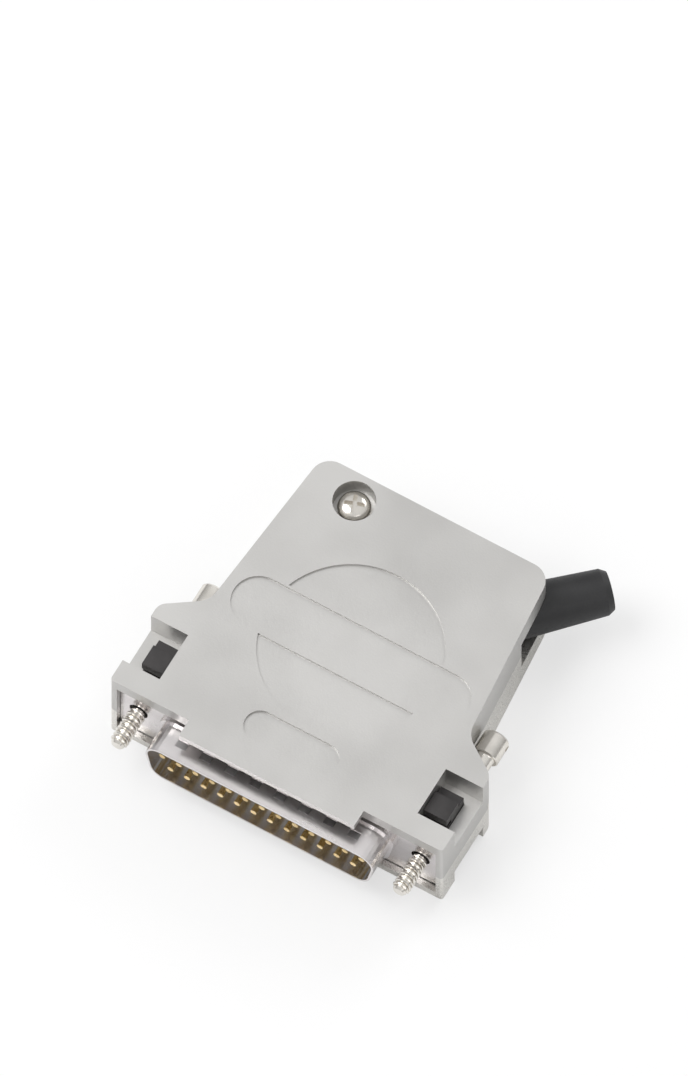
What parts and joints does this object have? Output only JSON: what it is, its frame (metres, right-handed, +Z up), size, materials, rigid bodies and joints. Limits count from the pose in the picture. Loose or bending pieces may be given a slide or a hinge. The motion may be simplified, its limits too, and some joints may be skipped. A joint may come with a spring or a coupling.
{
  "type": "d-sub hood",
  "caption": "Two-part die-cast hood round a D-shaped multi-pin plug, with jackscrews, retaining clips, a cable clamp and an angled rubber grommet.",
  "frame": {"origin": "centre of the front face of the connector flange, on the parting plane of the hood", "axes": "+X along the connector, +Y from the flange into the hood, +Z up through the cover"},
  "size_m": [0.0555, 0.0593, 0.016],
  "materials": {
    "die_cast_base": "satin nickel",
    "die_cast_cover": "matt nickel",
    "screw_nickel": "bright nickel",
    "strap_nickel": "bright nickel",
    "black_rubber": "matt",
    "black_plastic": "moulded",
    "tin_shell": "tin plated",
    "grey_insulator": "moulded",
    "gold_contact": "gold flashed"
  },
  "bodies": {
    "base": {"base_shell": "die_cast_base"},
    "cover": {"cover_shell": "die_cast_cover"},
    "cover_screw": {"cover_screw": "screw_nickel"},
    "strap": {"clamp_strap": "strap_nickel"},
    "clamp_screws": {"clamp_screw_a": "screw_nickel", "clamp_screw_b": "screw_nickel"},
    "saddle": {"cable_saddle": "strap_nickel"},
    "grommet": {"grommet_plate": "strap_nickel", "cable_grommet": "black_rubber"},
    "connector": {"connector_front_shell": "tin_shell", "connector_rear_shell": "tin_shell", "front_insulator": "grey_insulator", "rear_insulator": "grey_insulator", "contacts_long_row": "gold_contact", "contacts_short_row": "gold_contact"},
    "clip_left": {"retaining_clip_left": "black_plastic"},
    "clip_right": {"retaining_clip_right": "black_plastic"},
    "jackscrew_left": {"jackscrew_left": "screw_nickel"},
    "jackscrew_right": {"jackscrew_right": "screw_nickel"}
  },
  "joints": [
    {"name": "cover_lift", "type": "slide", "parent": "base", "child": "cover", "axis": [0, 0, 1], "range_m": [0, 0.147]},
    {"name": "cover_screw_lift", "type": "slide", "parent": "cover", "child": "cover_screw", "axis": [0, 0, 1], "range_m": [0, 0.01176]},
    {"name": "strap_lift", "type": "slide", "parent": "base", "child": "strap", "axis": [0, 0, 1], "range_m": [0, 0.0588]},
    {"name": "clamp_screw_lift", "type": "slide", "parent": "strap", "child": "clamp_screws", "axis": [0, 0, 1], "range_m": [0, 0.01029]},
    {"name": "saddle_lift", "type": "slide", "parent": "base", "child": "saddle", "axis": [0, 0, 1], "range_m": [0, 0.02499]},
    {"name": "grommet_lift", "type": "slide", "parent": "base", "child": "grommet", "axis": [0, 0, 1], "range_m": [0, 0.01764]},
    {"name": "connector_pull", "type": "slide", "parent": "base", "child": "connector", "axis": [0, -1, 0], "range_m": [0, 0.0228]},
    {"name": "clip_left_lift", "type": "slide", "parent": "base", "child": "clip_left", "axis": [0, 0, 1], "range_m": [0, 0.0147]},
    {"name": "clip_right_lift", "type": "slide", "parent": "base", "child": "clip_right", "axis": [0, 0, 1], "range_m": [0, 0.0147]},
    {"name": "jackscrew_left_turn", "type": "hinge", "parent": "base", "child": "jackscrew_left", "pos_m": [-0.02352, 0, 0], "axis": [0, -1, 0], "continuous": true},
    {"name": "jackscrew_right_turn", "type": "hinge", "parent": "base", "child": "jackscrew_right", "pos_m": [0.02352, 0, 0], "axis": [0, -1, 0], "continuous": true}
  ],
  "couplings": [
    {"joint": "cover_screw_lift", "follows": "cover_lift", "ratio": 0.08},
    {"joint": "strap_lift", "follows": "cover_lift", "ratio": 0.4},
    {"joint": "clamp_screw_lift", "follows": "cover_lift", "ratio": 0.07},
    {"joint": "saddle_lift", "follows": "cover_lift", "ratio": 0.17},
    {"joint": "grommet_lift", "follows": "cover_lift", "ratio": 0.12},
    {"joint": "connector_pull", "follows": "cover_lift", "ratio": 0.1551},
    {"joint": "clip_left_lift", "follows": "cover_lift", "ratio": 0.1},
    {"joint": "clip_right_lift", "follows": "cover_lift", "ratio": 0.1}
  ]
}
